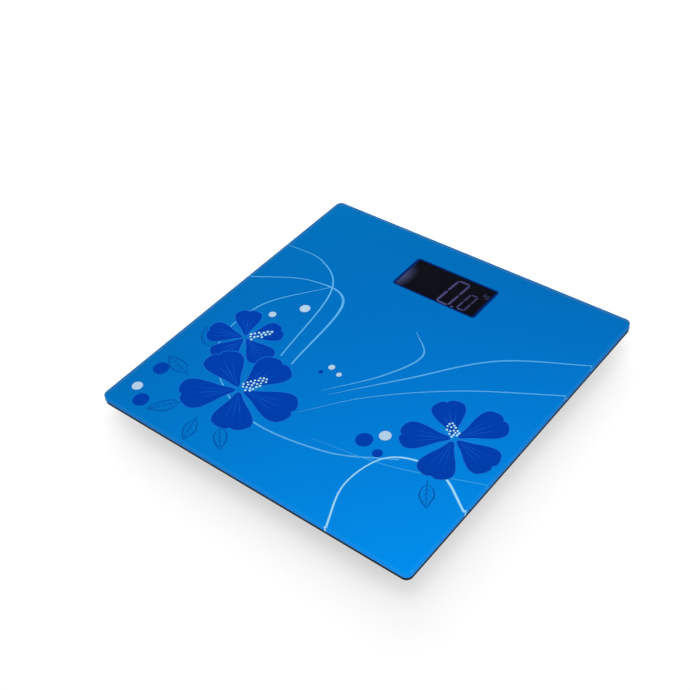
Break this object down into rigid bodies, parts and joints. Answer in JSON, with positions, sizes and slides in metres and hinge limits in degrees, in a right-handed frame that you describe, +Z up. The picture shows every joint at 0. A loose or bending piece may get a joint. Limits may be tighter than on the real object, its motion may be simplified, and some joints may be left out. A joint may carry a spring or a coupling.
{
  "type": "digital personal scale",
  "caption": "Flat square digital personal scale: a blue flower-printed glass platform with a dark display window, on a shallow plastic tray with load-cell feet.",
  "frame": {"origin": "centre of the footprint, on the surface the scale stands on", "axes": "+Z up out of the glass, +Y towards the edge with the display, +X to the right of a person reading it"},
  "size_m": [0.3, 0.3, 0.024],
  "materials": {
    "glass": "polished tempered glass with ground edges",
    "film": "printed film, blue floral artwork",
    "foam": "closed-cell foam tape and pads",
    "tray": "fine-textured moulded ABS",
    "grey_plastic": "satin moulded ABS",
    "white_plastic": "moulded ABS",
    "lcd": "black negative liquid-crystal glass",
    "guide": "clear acrylic",
    "led": "LED package",
    "zebra": "conductive rubber strip",
    "board": "solder-masked fibreglass laminate",
    "epoxy": "black potting resin",
    "sleeve": "printed plastic sleeve",
    "battery": "shrink-wrapped steel can",
    "steel": "machined and glued steel",
    "zinc": "zinc-plated steel",
    "rubber": "moulded rubber",
    "red_wire": "PVC wire insulation",
    "black_wire": "PVC wire insulation",
    "grey_wire": "PVC cable jacket"
  },
  "bodies": {
    "base": {"glass_platform": "glass", "printed_film": "film", "adhesive_tape": "foam", "base_tray": "tray", "lcd_panel": "lcd", "lcd_frame": "tray", "light_guide": "guide", "backlight_led": "led", "zebra_strip": "zebra", "circuit_board": "board", "controller_chip": "epoxy", "capacitor": "sleeve", "unit_switch": "tray", "battery_1": "battery", "battery_2": "battery", "contact_bridge": "zinc", "contact_positive": "zinc", "contact_negative": "zinc", "battery_lead_red": "red_wire", "battery_lead_black": "black_wire", "board_screw_1": "zinc", "board_screw_2": "zinc", "board_screw_3": "zinc", "board_screw_4": "zinc", "load_cell_br": "steel", "cell_cover_br": "white_plastic", "cover_screw_br_a": "zinc", "cover_screw_br_b": "zinc", "glass_pad_br": "foam", "cell_cable_br": "grey_wire", "load_cell_bl": "steel", "cell_cover_bl": "white_plastic", "cover_screw_bl_a": "zinc", "cover_screw_bl_b": "zinc", "glass_pad_bl": "foam", "cell_cable_bl": "grey_wire", "load_cell_fl": "steel", "cell_cover_fl": "white_plastic", "cover_screw_fl_a": "zinc", "cover_screw_fl_b": "zinc", "glass_pad_fl": "foam", "cell_cable_fl": "grey_wire", "load_cell_fr": "steel", "cell_cover_fr": "white_plastic", "cover_screw_fr_a": "zinc", "cover_screw_fr_b": "zinc", "glass_pad_fr": "foam", "cell_cable_fr": "grey_wire"},
    "battery_cover": {"battery_cover": "tray"},
    "unit_button": {"unit_button": "grey_plastic", "switch_plunger": "grey_plastic"},
    "foot_br": {"rubber_foot_br": "rubber", "foot_cap_br": "tray"},
    "foot_bl": {"rubber_foot_bl": "rubber", "foot_cap_bl": "tray"},
    "foot_fl": {"rubber_foot_fl": "rubber", "foot_cap_fl": "tray"},
    "foot_fr": {"rubber_foot_fr": "rubber", "foot_cap_fr": "tray"}
  },
  "joints": [
    {"name": "battery_cover_hinge", "type": "hinge", "parent": "base", "child": "battery_cover", "pos_m": [0, 0.0127, 0.0039], "axis": [-1, 0, 0], "range_deg": [0, 95]},
    {"name": "unit_button_press", "type": "slide", "parent": "base", "child": "unit_button", "axis": [0, 0, 1], "range_m": [0, 0.0005], "stiffness_N_per_m": 1000},
    {"name": "foot_fl_turn", "type": "hinge", "parent": "base", "child": "foot_fl", "pos_m": [-0.102, -0.102, 0.0029], "axis": [0, 0, 1], "continuous": true},
    {"name": "foot_fr_turn", "type": "hinge", "parent": "base", "child": "foot_fr", "pos_m": [0.102, -0.102, 0.0029], "axis": [0, 0, 1], "continuous": true},
    {"name": "foot_br_turn", "type": "hinge", "parent": "base", "child": "foot_br", "pos_m": [0.102, 0.102, 0.0029], "axis": [0, 0, 1], "continuous": true},
    {"name": "foot_bl_turn", "type": "hinge", "parent": "base", "child": "foot_bl", "pos_m": [-0.102, 0.102, 0.0029], "axis": [0, 0, 1], "continuous": true}
  ]
}
